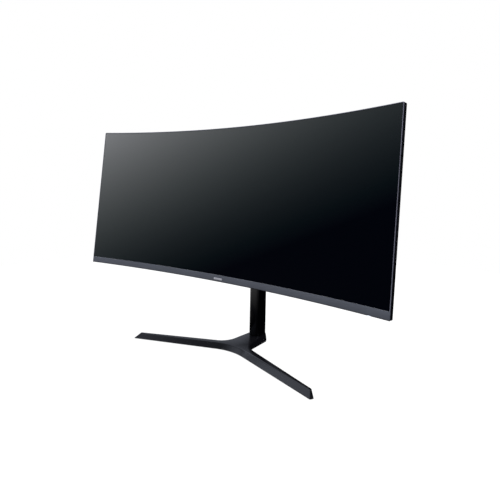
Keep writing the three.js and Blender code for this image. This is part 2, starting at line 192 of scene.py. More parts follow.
def spark_eroded(name, colour, roughness, level):
    """Moulded plastic from a textured tool: a pebbled skin of small rounded cells."""
    n = Nodes(name)
    cells = n.add("ShaderNodeTexVoronoi", feature="SMOOTH_F1", Scale=1.0)
    n.link(n.mapped(1100.0), cells.inputs["Vector"])
    cloud = n.noise(9.0, 3.0)
    n.link(n.ramp(cloud, [(0.35, [c * 0.85 for c in colour]), (0.65, [c * 1.15 for c in colour])]),
           n.shader.inputs["Base Color"])
    skin = n.sum(cells.outputs["Distance"], n.noise(2400.0, 3.0))
    n.link(n.spread(skin, roughness * 0.92, roughness * 1.08, 0.4, 1.4), n.shader.inputs["Roughness"])
    n.bump(skin, 0.05)
    n.set(Specular_IOR_Level=level)
    return n.material


def circuit_board(name):
    """Green solder mask with faint copper tracks under it."""
    n = Nodes(name)
    tracks = n.add("ShaderNodeTexBrick", Scale=1.0)
    n.link(n.mapped(240.0), tracks.inputs["Vector"])
    for socket, colour in (("Color1", (0.010, 0.085, 0.035)), ("Color2", (0.014, 0.105, 0.045)),
                           ("Mortar", (0.03, 0.17, 0.07))):
        tracks.inputs[socket].default_value = (*colour, 1.0)
    n.link(tracks.outputs["Color"], n.shader.inputs["Base Color"])
    n.link(n.spread(n.noise(600.0), 0.3, 0.42), n.shader.inputs["Roughness"])
    n.bump(tracks.outputs["Fac"], 0.03)
    return n.material


# The screen's fall-off from its upper left corner is a painted reflection, a gradient in the base colour
# by position on the panel.
SCREEN_REFLECTION_TOP_TONE = 98.0  # brightest tone of the painted reflection's fall-off, of 255
SCREEN_REFLECTION_FALL_X = 0.685  # share lost from left to right
SCREEN_REFLECTION_FALL_Z = 0.67  # share lost from top to bottom
SCREEN_REFLECTION_X = (-0.404, 0.404)  # where the painted reflection's fall-off starts and ends, in metres
SCREEN_REFLECTION_Z = (0.199, 0.543)
SCREEN_REFLECTION_GAIN = 0.95
SCREEN_REFLECTION_BLACK = 4.0  # how far the dark end of the painted reflection is pulled under black


def to_linear(value):
    return value / 12.92 if value <= 0.04045 else ((value + 0.055) / 1.055) ** 2.4


def painted_reflection_tone(share):
    """Base colour of the screen where the painted reflection has this share of its brightest tone."""
    dark = 1 - share
    red = SCREEN_REFLECTION_TOP_TONE * share - SCREEN_REFLECTION_BLACK * dark
    lifts = (0.0, 0.5 + 4.5 * dark, 1.0 + 8.0 * dark * dark)
    return [to_linear(max(0.0, red + lift) / 255) * SCREEN_REFLECTION_GAIN for lift in lifts]


def screen_painted_reflection_material():
    """Matte dark glass with a painted reflection: its base colour falls off evenly from its upper left
    corner.
    """
    n = Nodes("screen_glass_painted_reflection")
    axes = n.add("ShaderNodeSeparateXYZ")
    n.link(n.coords.outputs["Object"], axes.inputs["Vector"])
    # painted reflection: darker towards the right and towards the bottom
    across = n.spread(axes.outputs["X"], 0.0, SCREEN_REFLECTION_FALL_X, *SCREEN_REFLECTION_X)
    down = n.spread(axes.outputs["Z"], SCREEN_REFLECTION_FALL_Z, 0.0, *SCREEN_REFLECTION_Z)
    steps = 12
    stops = [(i / steps, painted_reflection_tone(1 - i / steps)) for i in range(steps + 1)]
    n.link(n.ramp(n.sum(across, down), stops), n.shader.inputs["Base Color"])
    fine = n.noise(2600.0, 2.0)
    n.link(n.spread(fine, 0.38, 0.46), n.shader.inputs["Roughness"])
    n.bump(fine, 0.003)
    n.set(Specular_IOR_Level=0.02)
    return n.material


# Colours are linear, and `relief` is the height of the grain in mm.
MATERIALS = {
    "screen": screen_painted_reflection_material(),
    "frame": surface("frame_satin", (0.004, 0.004, 0.005), 0.24, level=1.0),
    "bezel": surface("bezel_satin", (0.052, 0.056, 0.068), 0.42, level=0.12, drift=0.05),
    # the lip is real, its lighter colour is a painted highlight along the frame's front edge
    "lip": surface("lip_satin_painted_highlight", (0.085, 0.085, 0.11), 0.35, level=0.3),
    # a black strip painted in as the shade under the chin's lower edge
    "edge": surface("edge_painted_shade", (0.006, 0.006, 0.007), 0.6, level=0.1),
    "badge": surface("badge_brushed", (0.30, 0.30, 0.33), 0.4, metallic=0.3, stretch=(0.04, 1, 1)),
    "cover": spark_eroded("cover_textured", (0.014, 0.014, 0.016), 0.5, 0.5),
    "stand": surface("stand_satin_black", (0.0015, 0.0015, 0.002), 0.21, level=0.5, relief=0.008),
    "column": surface("column_gloss_black", (0.001, 0.001, 0.0015), 0.15, level=0.5, relief=0.006),
    "rubber": surface("rubber", (0.012, 0.012, 0.012), 0.85, relief=0.08),
    "steel": surface("zinc_steel", (0.56, 0.57, 0.58), 0.34, metallic=1.0),
    "dark_steel": surface("black_steel", (0.018, 0.018, 0.021), 0.4, level=0.5, relief=0.03),
    "nylon": surface("nylon", (0.62, 0.61, 0.56), 0.5),
    "board": circuit_board("solder_mask"),
    "socket_body": surface("socket_black", (0.012, 0.012, 0.012), 0.5),
    "sheet": surface("diffuser_sheet", (0.88, 0.88, 0.87), 0.5),
    "acrylic": surface("light_guide_acrylic", (0.8, 0.84, 0.86), 0.1),
    "led": surface("led_strip_white", (0.82, 0.81, 0.76), 0.5),
    "lens": surface("lamp_lens", (0.8, 0.84, 0.9), 0.15),
    "joystick": surface("joystick_satin", (0.014, 0.014, 0.016), 0.45),
    "contact": surface("gold_contact", (0.83, 0.62, 0.27), 0.25, metallic=1.0),
}
for row in frame["record"]["subparts"]:
    obj = nodes[row["node"]]
    obj.data.materials.clear()
    obj.data.materials.append(MATERIALS[row["material_slot"]])
for name in ("joystick_gimbal", "joystick_hub"):  # black nylon, seen through the hole round the knob
    nodes[name].data.materials[0] = MATERIALS["joystick"]


# ---- mesh helpers ----------------------------------------------------------------------------
def new_object(name, bm, material, place=upright, smooth=30.0):
    """Turns a mesh drawn in mm into an object, through the function that places its points."""
    for v in bm.verts:
        v.co = place(*v.co)
    bmesh.ops.recalc_face_normals(bm, faces=bm.faces)
    mesh = bpy.data.meshes.new(name)
    bm.to_mesh(mesh)
    bm.free()
    mesh.materials.append(MATERIALS[material])
    obj = bpy.data.objects.new(name, mesh)
    bpy.context.scene.collection.objects.link(obj)
    mesh.shade_smooth()
    mesh.set_sharp_from_angle(angle=math.radians(smooth))
    return obj


def stand_for(obj, body, slot, *cad_nodes):
    """A piece that is shown in place of CAD nodes."""
    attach(obj, body)
    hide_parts(*cad_nodes)
    return obj


def detail(obj, body, slot):
    """A small piece of its own that stands for no CAD node."""
    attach(obj, body)


def soften(obj, width_mm, segments, angle=35.0):
    """Rounds the edges of an object that are sharper than the angle."""
    mod = obj.modifiers.new("soft_edges", "BEVEL")
    mod.width = width_mm * MM
    mod.segments = segments
    mod.limit_method = "ANGLE"
    mod.angle_limit = math.radians(angle)
    mod.harden_normals = True


def carve(obj, *cutters, operation="DIFFERENCE", smooth=30.0):
    """Cuts the cutters out of an object, or joins them to it, and drops them."""
    for cutter in cutters:
        mod = obj.modifiers.new("carve", "BOOLEAN")
        mod.operation = operation
        mod.solver = "EXACT"
        mod.object = cutter
    bpy.context.view_layer.update()
    shape = bpy.data.meshes.new_from_object(obj.evaluated_get(bpy.context.evaluated_depsgraph_get()))
    obj.modifiers.clear()
    obj.data = shape
    for cutter in cutters:
        bpy.data.objects.remove(cutter)
    shape.shade_smooth()
    shape.set_sharp_from_angle(angle=math.radians(smooth))
    return obj


def loft(bm, rings, close_ends=True):
    """Skins a list of rings with equal point counts."""
    made = [[bm.verts.new(p) for p in ring] for ring in rings]
    for low, high in zip(made, made[1:]):
        for i in range(len(low)):
            j = (i + 1) % len(low)
            bm.faces.new((low[i], low[j], high[j], high[i]))
    if close_ends:
        bm.faces.new(reversed(made[0]))
        bm.faces.new(made[-1])
    bm.normal_update()  # a cap is only filled correctly once its normal is known
    return made


def close_loop(bm, made):
    """Joins the last ring of a loft to its first, which leaves a tube with walls."""
    last, first = made[-1], made[0]
    for i in range(len(first)):
        j = (i + 1) % len(first)
        bm.faces.new((last[i], last[j], first[j], first[i]))


AXES = {"x": (1, 2, 0), "y": (0, 2, 1), "z": (0, 1, 2)}


def along_axis(axis, u, v, w):
    """Coordinates where w runs along the axis and u, v across it."""
    point = [0.0, 0.0, 0.0]
    for index, value in zip(AXES[axis], (u, v, w)):
        point[index] = value
    return Vector(point)


def lathe(axis, centre, profile, steps=40):
    """A turned piece: the profile lists (radius, place along the axis), and both ends are capped."""
    bm = bmesh.new()
    rings = []
    for radius, w in profile:
        rings.append([along_axis(axis, centre[0] + radius * math.cos(2 * math.pi * i / steps),
                                 centre[1] + radius * math.sin(2 * math.pi * i / steps), w)
                      for i in range(steps)])
    loft(bm, rings)
    return bm


def pin(axis, radius, span, centre, soft=0.4):
    """A rod with rounded ends."""
    low, high = span
    profile = [(radius - soft, low), (radius - soft * 0.3, low + soft * 0.3), (radius, low + soft),
               (radius, high - soft), (radius - soft * 0.3, high - soft * 0.3), (radius - soft, high)]
    return lathe(axis, centre, profile)


def block(x, y, z, soft=0.0, segments=3):
    """A box with rounded edges."""
    bm = bmesh.new()
    for v in bmesh.ops.create_cube(bm, size=1.0)["verts"]:
        v.co = Vector([span[0] if c < 0 else span[1] for c, span in zip(v.co, (x, y, z))])
    if soft:
        bmesh.ops.bevel(bm, geom=bm.edges[:], offset=soft, segments=segments, affect="EDGES",
                        profile=0.5)
    return bm


def slice_along(bm, half, step=9.0):
    """Cuts a flat panel piece into strips, so that it can follow the curve."""
    count = int(2 * half / step)
    for i in range(1, count):
        bmesh.ops.bisect_plane(bm, geom=bm.verts[:] + bm.edges[:] + bm.faces[:],
                               plane_co=(-half + 2 * half * i / count, 0, 0), plane_no=(1, 0, 0))


def sliced_slab(half, y, z, soft, segments=3):
    """A softened block across the panel, in strips. The cuts leave it in an order that varies by run."""
    def middle(item):
        corners = getattr(item, "verts", [item])
        return [sum(v.co[axis] for v in corners) / len(corners) for axis in range(3)]

    bm = block((-half, half), y, z, soft, segments)
    slice_along(bm, half)
    for items in (bm.verts, bm.edges, bm.faces):
        order = {item: place for place, item in enumerate(sorted(items, key=middle))}
        items.sort(key=order.get)
    return bm


def plan(u, v, radius, steps=8):
    """A rounded rectangle from its spans across and up, as (u, v) pairs."""
    points = []
    for corner, (at_u, at_v) in enumerate(((u[1], v[1]), (u[0], v[1]), (u[0], v[0]), (u[1], v[0]))):
        for i in range(steps + 1):
            a = math.radians(90 * (corner + i / steps))
            side_u, side_v = (1 if at_u == u[1] else -1), (1 if at_v == v[1] else -1)
            points.append((at_u - side_u * radius + radius * math.cos(a),
                           at_v - side_v * radius + radius * math.sin(a)))
    return points


def plate(axis, u, v, span, radius, soft=0.5):
    """A slab with rounded corners whose two faces have softened rims."""
    low, high = span
    rings = []
    for w, inset in ((low, soft), (low + soft * 0.3, soft * 0.3), (low + soft, 0.0),
                     (high - soft, 0.0), (high - soft * 0.3, soft * 0.3), (high, soft)):
        outline = plan((u[0] + inset, u[1] - inset), (v[0] + inset, v[1] - inset), radius - inset)
        rings.append([along_axis(axis, a, b, w) for a, b in outline])
    bm = bmesh.new()
    loft(bm, rings)
    return bm


# ---- panel front -----------------------------------------------------------------------------
def build_screen():
    inner = HALF - LIP - GAP
    bm = sliced_slab(inner, (0.5, 2.3), (CHIN + GAP, HEIGHT - LIP - GAP), soft=0.2, segments=1)
    stand_for(new_object("screen", bm, "screen", curved), "head", "screen", "lcd_cell")


def build_frame():
    """A thin ring round the display, and the lip on its front, coloured lighter as a painted highlight
    that shows as a fine line.
    """
    def ring(name, profile, material):  # the profile lists (inset from the rim, depth)
        rings = []
        for inset, y in profile:
            outline = plan((-HALF + inset, HALF - inset), (inset, HEIGHT - inset), 2.4 - inset * 0.8, 5)
            rings.append([Vector((s, y, z)) for s, z in outline])
        bm = bmesh.new()
        close_loop(bm, loft(bm, rings, close_ends=False))
        flat = new_object(name, bm, material)
        step = block((-HALF - 2, HALF + 2), (-1.0, 2.1), (-1.0, CHIN + GAP))
        carve(flat, new_object("step", step, material))
        bm = bmesh.new()
        bm.from_mesh(flat.data)
        bpy.data.objects.remove(flat)
        for v in bm.verts:
            v.co /= MM
        slice_along(bm, HALF)
        return new_object(name, bm, material, curved)

    sides = ((LIP, DEPTH), (LIP, 0.5), (LIP - 0.1, 0.4), (0.3, 0.4), (0.1, 0.5), (0.0, 0.7),
             (0.0, DEPTH - 0.3), (0.3, DEPTH))
    stand_for(ring("frame_ring", sides, "frame"), "head", "frame", "mid_frame")
    front = ((LIP, 0.38), (LIP, 0.1), (LIP - 0.1, 0.0), (0.3, 0.0), (0.12, 0.08), (0.04, 0.22),
             (0.04, 0.38))
    # the lip's lighter colour is a painted highlight
    detail(ring("frame_lip_painted_highlight", front, "lip"), "head", "bezel")


def build_chin():
    bm = sliced_slab(HALF, (0.0, 1.8), (CHIN_SHADE_EDGE + 0.05, CHIN), soft=0.45)
    stand_for(new_object("chin", bm, "bezel", curved), "head", "bezel", "chin_bezel")
    # a dark strip along the foot of the chin: painted shade
    bm = sliced_slab(HALF, (0.2, 1.8), (0.0, CHIN_SHADE_EDGE), soft=0.3)
    detail(new_object("chin_painted_shade_edge", bm, "edge", curved), "head", "bezel")


def build_badge_and_lamp():
    def on_curve(along):
        def place(x, y, z):
            return curved(along + x, y, z)
        return place

    badge = plate("y", (-12, 12), (4.4, 8.9), (-1.4, -0.45), 0.9, soft=0.3)
    stand_for(new_object("badge_plate", badge, "badge", on_curve(-1)), "head", "badge", "badge")
    lamp = plate("y", (-3, 3), (-1.2, 0.8), (-1.5, -GAP), 0.8, soft=0.35)
    stand_for(new_object("lamp_lens", lamp, "lens", on_curve(372)), "head", "lens", "power_led_lens")


# ---- rear cover ------------------------------------------------------------------------------
def cover_rings(inset, low_y):
    """The slim part of the cover: a sloping side that rolls over into the flat back."""
    rim = {"half": HALF - 0.8, "low": 0.8, "high": HEIGHT - 0.8, "y": DEPTH + GAP}
    back = {"half": 380.0, "low": 22.0, "high": 340.0, "y": COVER_BACK}

    def ring(t, y, inward=0.0):
        half = rim["half"] + (back["half"] - rim["half"]) * t - inset - inward
        low = rim["low"] + (back["low"] - rim["low"]) * t + inset + inward
        high = rim["high"] + (back["high"] - rim["high"]) * t - inset - inward
        return [Vector((s, y, z)) for s, z in plan((-half, half), (low, high), 2.0 + 16.0 * t, 8)]

    drop = COVER_BACK - rim["y"]
    rings = [ring(0.0, low_y), ring(0.06, rim["y"] + 0.06 * drop)]
    straight = 0.62  # share of the side that is straight before it rolls over
    roll_in = 12.0  # how far the roll reaches in over the flat back
    steps = 8
    for i in range(steps + 1):
        k = i / steps
        t = straight * (1 - k) ** 2 + 2 * k * (1 - k) + k * k
        y = (rim["y"] + drop * straight) * (1 - k) ** 2 + COVER_BACK * (1 - (1 - k) ** 2)
        rings.append(ring(t, y - inset, roll_in * k * k))
    return rings


def bulge_rings(inset):
    """The thick middle of the cover, which holds the boards: a tapered box with a rolled rim."""
    front = {"half": 152.0, "low": 82.0, "high": 286.0, "y": 12.0}
    back = {"half": 122.0, "low": 104.0, "high": 262.0, "y": BULGE_BACK}
    rings = []
    roll_start, roll_in, corner = 0.8, 3.5, 14.0
    for t in (0.0, 0.3, 0.6, roll_start, 0.88, 0.93, 0.97, 0.99, 1.0):
        roll = max(0.0, (t - roll_start) / 0.2)
        y = front["y"] + (back["y"] - front["y"]) * t
        narrow = roll_in * (1 - math.sqrt(max(0.0, 1 - roll ** 2)))
        half = front["half"] + (back["half"] - front["half"]) * t - inset - narrow
        low = front["low"] + (back["low"] - front["low"]) * t + inset + narrow
        high = front["high"] + (back["high"] - front["high"]) * t - inset - narrow
        rings.append([Vector((x, y - inset, z)) for x, z in plan((-half, half), (low, high), corner)])
    return rings


def build_rear_cover():
    def shell(name, rings, place, sliced):
        bm = bmesh.new()
        loft(bm, rings)
        if sliced:
            slice_along(bm, HALF, 15.0)
        return new_object(name, bm, "cover", place)

    cover = shell("rear_shell", cover_rings(0.0, DEPTH + GAP), curved, True)
    carve(cover, shell("outer_bulge", bulge_rings(0.0), tilted, False), operation="UNION")
    carve(cover, shell("inner", cover_rings(WALL, DEPTH - 1.0), curved, True),
          shell("inner_bulge", bulge_rings(WALL), tilted, False))

    cutters = []
    for i in range(VENTS):
        x = VENT_PITCH * (i - VENTS // 2)
        slot = plate("y", (x - 1.5, x + 1.5), VENT_Z, CUT_Y, 1.4, soft=0.05)
        cutters.append(new_object("slot", slot, "cover", tilted))
    cutters.append(new_object("hole", pin("y", 7.5, CUT_Y, JOYSTICK, 0.05), "cover", tilted))
    bay = plate("z", (-98, 84), (28, 48), (70, SOCKET_Z + 2), 2.5, soft=0.05)
    cutters.append(new_object("bay", bay, "cover", tilted))
    for point in MOUNT_POINTS:
        cutters.append(new_object("hole", pin("y", SCREW_HOLE, CUT_Y, point, 0.05), "cover", tilted))
    stand_for(carve(cover, *cutters), "head", "cover", "rear_cover")


# ---- sockets and joystick --------------------------------------------------------------------
SOCKETS = {  # place across, width and depth of the opening
    "hdmi_socket_1": (-84, 15, 5.6), "hdmi_socket_2": (-62, 15, 5.6),
    "displayport_socket": (-39, 16, 5), "usb_uplink_socket": (-18, 12, 11),
    "usb_socket_1": (1, 13.5, 6), "usb_socket_2": (20, 13.5, 6), "power_inlet": (64, 27, 15.5),
}


def build_tongues():
    """The tongue inside each data socket with its row of contacts, and the inlet's three blades."""
    end = SOCKET_Z + 7.2
    for name, (x, width, depth) in SOCKETS.items():
        if name == "power_inlet":
            for i, (dx, dy) in enumerate(((-7, 2), (7, 2), (0, -2.4))):
                blade = block((x + dx - 1.1, x + dx + 1.1), (SOCKET_Y + dy - 2, SOCKET_Y + dy + 2),
                              (SOCKET_Z + 0.6, end), soft=0.3)
                detail(new_object(f"{name}_blade_{i + 1}", blade, "steel", tilted), "head", "steel")
            continue
        tall = 4.6 if name == "usb_uplink_socket" else 1.5
        half = width / 2 - (3.0 if tall > 2 else 1.6)
        tongue = block((x - half, x + half), (SOCKET_Y - tall / 2, SOCKET_Y + tall / 2),
                       (SOCKET_Z + 1.4, end), soft=0.25)
        detail(new_object(f"{name}_tongue", tongue, "socket_body", tilted), "head", "socket_body")
        count = 4 if name.startswith("usb") else 9
        for i in range(count):
            at = x + (i - (count - 1) / 2) * (2 * half - 1.4) / (count - 1)
            side = SOCKET_Y - tall / 2
            contact = block((at - 0.25, at + 0.25), (side - 0.15, side + 0.1),
                            (SOCKET_Z + 1.8, end - 0.4), soft=0.06, segments=1)
            detail(new_object(f"{name}_contact_{i + 1}", contact, "contact", tilted), "head", "steel")


def build_joystick():
    """A dished thumb knob on its stem; pressing in every other pair of rim points makes the ribs."""
    profile = [(1.2, 47), (2.2, 47.5), (2.2, 60), (5.2, 60.1), (5.9, 60.5), (6.0, 61.0), (6.0, 62.7),
               (5.7, 63.3), (5.2, 63.5), (4.2, 63.3), (2.2, 62.7), (0.3, 62.6)]
    bm = lathe("y", JOYSTICK, profile, 48)
    for i, v in enumerate(bm.verts):
        out = Vector((v.co.x - JOYSTICK[0], 0, v.co.z - JOYSTICK[1]))
        if 5.8 < out.length and 60.4 < v.co.y < 62.9 and i % 4 < 2:
            v.co -= out.normalized() * 0.25
    knob = new_object("joystick_knob", bm, "joystick", tilted, smooth=40)
    stand_for(knob, "joystick_cap", "joystick", "joystick_cap")


# ---- mount, hinge and neck -------------------------------------------------------------------
def build_tilt_bracket():
    """A slotted plate with two lugs for the hinge pin."""
    back = BRACKET_AT
    y, z = HINGE
    bm = plate("y", (-60, 60), (z - 60, z + 60), (back, back + 3), 8)
    bracket = new_object("mount_bracket", bm, "dark_steel", tilted)
    lugs = []
    for side in (-1, 1):
        low, high = sorted((side * 16.0, side * 20.0))
        outline = [Vector((0, back + 1, z - 15)), Vector((0, back + 6, z - 12))]
        for i in range(17):
            a = math.radians(-90 + 180 * i / 16)
            outline.append(Vector((0, y + 12 * math.cos(a), z + 12 * math.sin(a))))
        outline += [Vector((0, back + 6, z + 12)), Vector((0, back + 1, z + 15))]
        bm = bmesh.new()
        loft(bm, [[p + Vector((x, 0, 0)) for p in outline] for x in (low, high)])
        lugs.append(new_object("lug", bm, "dark_steel", tilted))
    carve(bracket, *lugs, operation="UNION")
    holes = [new_object("hole", pin("x", PIN_HOLE, (-30, 30), HINGE, 0.05), "dark_steel", tilted)]
    through = (back - 1, back + 5)
    for point in MOUNT_POINTS:
        hole = pin("y", SCREW_HOLE, through, point, 0.05)
        holes.append(new_object("hole", hole, "dark_steel", tilted))
    for x, dz, wide, tall in ((0, 38, 18, 5), (0, -38, 18, 5), (-40, 0, 5, 18), (40, 0, 5, 18)):
        slot = plate("y", (x - wide, x + wide), (z + dz - tall, z + dz + tall), through, 4.5, soft=0.05)
        holes.append(new_object("slot", slot, "dark_steel", tilted))
    soften(stand_for(carve(bracket, *holes), "head", "dark_steel", "tilt_bracket"), 0.35, 2)


def build_mount_screws():
    """Pan-head screws with a cross recess."""
    back = BRACKET_AT
    profile = [(1.6, 40), (2.0, 40.6), (2.0, back + 3.3), (3.9, back + 3.3), (4.0, back + 3.7),
               (3.9, back + 4.5), (3.3, back + 5.2), (2.2, back + 5.5)]
    for count, (x, z) in enumerate(MOUNT_POINTS, 1):
        bm = lathe("y", (x, z), profile, 36)
        screw = new_object(f"mount_screw_{count}_head", bm, "steel", tilted)
        arms = []
        for wide, tall in ((2.0, 0.45), (0.45, 2.0)):
            arm = block((x - wide, x + wide), (back + 4.2, back + 7), (z - tall, z + tall))
            arms.append(new_object("arm", arm, "steel", tilted))
        stand_for(carve(screw, *arms), "head", "steel", f"mount_screw_{count}")


def build_neck():
    """The arm from the column to the hinge, with its pin, washers and sleeve."""
    y, z = HINGE_WORLD.y, HINGE_WORLD.z
    profile = [(11.8, -13), (12.6, -12.8), (13, -12.2), (13, 12.2), (12.6, 12.8), (11.8, 13)]
    arm = new_object("neck", lathe("x", (y, z), profile, 56), "dark_steel")
    beam = new_object("beam", block((-6, 6), (y, -14.3), (z - 12, z + 12), soft=1.2), "dark_steel")
    carve(arm, beam, operation="UNION")
    bore = new_object("bore", pin("x", PIN_HOLE, (-30, 30), (y, z), 0.05), "dark_steel")
    stand_for(carve(arm, bore), "lift", "dark_steel", "neck_arm")

    rod = new_object("hinge_rod", pin("x", 4.0, (-22.5, 22.5), (y, z), 0.7), "steel")
    stand_for(rod, "lift", "steel", "hinge_pin")
    for name, side in (("left", -1), ("right", 1)):
        low, high = sorted((side * 13.3, side * 15.7))
        bm = lathe("x", (y, z), [(10.8, low), (11, low + 0.3), (11, high - 0.3), (10.8, high)], 44)
        washer = new_object(f"washer_{name}", bm, "nylon")
        hole = new_object("hole", pin("x", PIN_HOLE, (low - 2, high + 2), (y, z), 0.05), "nylon")
        stand_for(carve(washer, hole), "lift", "nylon", f"hinge_washer_{name}")

    front, rear = -50.5, -21.2
    rings = []
    for half_x, half_z, radius, at in (
            (9, 16, 2.5, rear), (9, 16, 2.5, front), (9.3, 16.3, 2.8, front),
            (10.5, 17.5, 3.5, front), (11, 18, 4, front + 0.6), (11, 18, 4, rear - 0.6),
            (10.5, 17.5, 3.5, rear), (9.3, 16.3, 2.8, rear)):
        outline = plan((-half_x, half_x), (-half_z, half_z), radius, 6)
        rings.append([Vector((u, at, z + v)) for u, v in outline])
    bm = bmesh.new()
    close_loop(bm, loft(bm, rings, close_ends=False))
    stand_for(new_object("neck_sleeve", bm, "cover"), "lift", "cover", "neck_cover")


# ---- column ----------------------------------------------------------------------------------
def column_ring(inset, z):
    """The outline of the column, drawn in by `inset`."""
    half_x, half_y = COLUMN_HALF
    outline = plan((-half_x + inset, half_x - inset), (-half_y + inset, half_y - inset),
                   COLUMN_CORNER - inset, 10)
    return [Vector((u, v, z)) for u, v in outline]


def build_column():
    """The column, a tube with a slot at the front for the neck, and its lid."""
    low, high = FOOT_TOP + 0.6, COLUMN_TOP
    sides = ((2.5, low), (0.5, low), (0.15, low + 0.15), (0.0, low + 0.5), (0.0, high - 0.5),
             (0.15, high - 0.15), (0.5, high), (2.5, high))
    bm = bmesh.new()
    close_loop(bm, loft(bm, [column_ring(inset, z) for inset, z in sides], close_ends=False))
    column = new_object("column", bm, "column")
    slot_z = (HINGE_WORLD.z - 115, HINGE_WORLD.z + 15)
    slot = plate("y", (-6.6, 6.6), slot_z, (-30, -12), 1.2, soft=0.05)
    carve(column, new_object("slot", slot, "column"))
    stand_for(column, "column", "column", "column_shell")

    lid = ((2.8, high - 6), (2.8, high + 0.25), (0.4, high + 0.3), (0.0, high + 0.7),
           (0.0, high + 1.6), (0.25, high + 2.4), (0.9, high + 3.0), (2.2, high + 3.3))
    bm = bmesh.new()
    loft(bm, [column_ring(inset, z) for inset, z in lid])
    stand_for(new_object("column_lid", bm, "column"), "column", "column", "column_cap")


# ---- V foot ----------------------------------------------------------------------------------
FOOT_Z = (1.5, FOOT_TOP)
# The right half of the outline at the bottom and at the top. The front edge starts at `front` and
# comes forward by `slope`, rounded in the middle by `apex`. The leg ends at `tip` and `tip_rear`,
# its rear edge runs from `rear` by `rear_slope`, and a fillet leads into the stem with its round end.
LOWER = dict(front=-110.2, slope=0.353, apex=120, tip=256, tip_rear=261, rear=-62, rear_slope=0.5,
             stem=34.5, flare=0.0, fillet=(7, 7), end=20, round=(30, 30), bulge=0.43)
UPPER = dict(front=-97.8, slope=0.35, apex=140, tip=249, tip_rear=249.8, rear=-78.2, rear_slope=0.41,
             stem=20.4, flare=0.1145, fillet=(27, 30), end=21, round=(23, 10), bulge=1.0)


def mix(a, b, t):
    """The number or tuple at share t between two."""
    if isinstance(a, tuple):
        return tuple(mix(p, q, t) for p, q in zip(a, b))
    return a + (b - a) * t


def bezier(a, b, c, steps):
    """Points along the curve from a to c that bends toward b."""
    shares = [i / steps for i in range(steps + 1)]
    return [(a * (1 - t) ** 2 + b * 2 * t * (1 - t) + c * t * t) for t in shares]


def foot_outline(t, inset, z):
    """The foot's outline at share t of its height, drawn in by `inset`."""
    f = {key: mix(LOWER[key], UPPER[key], t) for key in LOWER}
    angle, rear_angle = math.atan(f["slope"]), math.atan(f["rear_slope"])
    centre = f["front"] - f["apex"] / math.cos(angle)
    radius = f["apex"] + inset
    points = []
    for i in range(17):
        a = angle * i / 16
        points.append(Vector((radius * math.sin(a), centre + radius * math.cos(a))))
    tip, tip_rear = f["tip"] - inset, f["tip_rear"] - inset
    tip_front = Vector((tip, f["front"] + inset / math.cos(angle) - f["slope"] * tip))
    rear = f["rear"] - inset / math.cos(rear_angle)
    tip_back = Vector((tip_rear, rear - f["rear_slope"] * tip_rear))
    corner_cut = min(1.6, (tip_back - tip_front).length * 0.35)
    along_front = Vector((math.cos(angle), -math.sin(angle)))
    along_rear = Vector((math.cos(rear_angle), -math.sin(rear_angle)))
    across = (tip_back - tip_front).normalized()
    points += bezier(tip_front - along_front * corner_cut, tip_front,
                     tip_front + across * corner_cut, 4)
    points += bezier(tip_back - across * corner_cut, tip_back, tip_back - along_rear * corner_cut, 4)
    stem = f["stem"] - inset
    corner_x = (stem - f["flare"] * rear) / (1 - f["flare"] * f["rear_slope"])
    corner = Vector((corner_x, rear - f["rear_slope"] * corner_x))
    on_leg_x = corner_x + f["fillet"][0] * math.cos(rear_angle)
    on_leg = Vector((on_leg_x, rear - f["rear_slope"] * on_leg_x))
    on_stem = Vector((stem - f["flare"] * (corner.y + f["fillet"][1]), corner.y + f["fillet"][1]))
    points += bezier(on_leg, corner, on_stem, 16)
    end = f["end"] - inset
    side_end = Vector((stem - f["flare"] * (end - f["round"][0]), end - f["round"][0]))
    rear_corner = Vector((stem - f["flare"] * end, end))
    rear_end = Vector((rear_corner.x - f["round"][1], end))
    bend = side_end.lerp(rear_end, 0.5).lerp(rear_corner, f["bulge"])
    points += bezier(side_end, bend, rear_end, 12)
    both = points + [Vector((-p.x, p.y)) for p in reversed(points[1:])]
    return [Vector((p.x, p.y, z)) for p in both]


def build_foot():
    """The V foot with its soft upper rim and the bore for the swivel bolt."""
    bm = bmesh.new()
    low, high = FOOT_Z
    soft = 0.7
    rings = [foot_outline(0.0, 0.3, low), foot_outline(0.02, 0.0, low + 0.3)]
    for i in range(1, 7):
        t = i / 6 * (1 - soft / (high - low))
        rings.append(foot_outline(t, 0.0, low + (high - low) * t))
    for i in range(1, 5):
        a = math.radians(90 * i / 4)
        z = high - soft + soft * math.sin(a)
        rings.append(foot_outline((z - low) / (high - low), soft * (1 - math.cos(a)), z))
    loft(bm, rings)
    bmesh.ops.triangulate(bm, faces=[f for f in bm.faces if len(f.verts) > 4])
    foot = new_object("v_foot", bm, "stand", smooth=25)
    bore = new_object("bore", pin("z", FOOT_BORE, (0, 30), (0, 0), 0.05), "stand")
    recess = new_object("recess", pin("z", FOOT_RECESS[0], (0, FOOT_RECESS[1]), (0, 0), 0.05), "stand")
    stand_for(carve(foot, bore, recess, smooth=25), "base", "stand", "foot_casting")


PAD_X, PAD_Y = 228, -182.4  # middle of the pad under a leg
PAD_SLOPE = 0.42  # between the slopes of the leg's two edges


